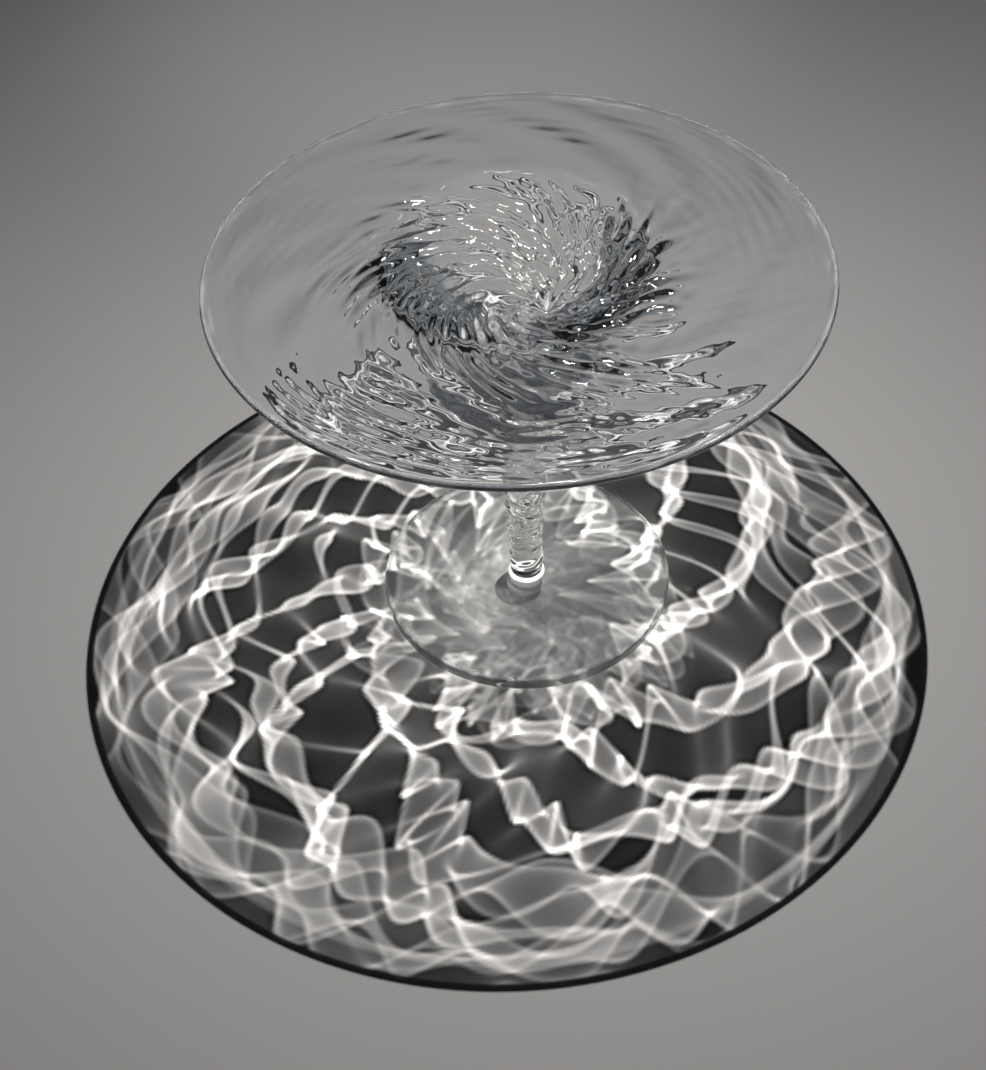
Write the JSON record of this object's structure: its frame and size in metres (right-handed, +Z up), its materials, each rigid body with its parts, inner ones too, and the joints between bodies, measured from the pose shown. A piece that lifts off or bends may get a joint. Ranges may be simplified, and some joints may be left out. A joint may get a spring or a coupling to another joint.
{
  "type": "footed glass dish",
  "caption": "Clear glass footed dish: shallow rippled dish with spiral ridges and a round rim, thickening to a solid cone underneath, on a solid rippled glass stem bonded to a flat round foot.",
  "frame": {"origin": "centre of the foot's flat resting face", "axes": "+Z up along the common axis of the dish's rim, stem and foot; +X to the right and +Y away from the viewer of the front view"},
  "size_m": [0.28, 0.28, 0.209],
  "materials": {
    "dish_glass": "clear fire-polished glass, rippled upper face, faint blue-grey edge",
    "stem_glass": "clear drawn glass rod, softly rippled",
    "foot_glass": "clear float glass with polished rounded edge, faint green-grey edge",
    "clear_adhesive": "clear light-cured adhesive, slightly milky meniscus"
  },
  "bodies": {
    "root": {"dish": "dish_glass", "stem": "stem_glass", "foot": "foot_glass", "upper_bond": "clear_adhesive", "lower_bond": "clear_adhesive"}
  },
  "joints": []
}
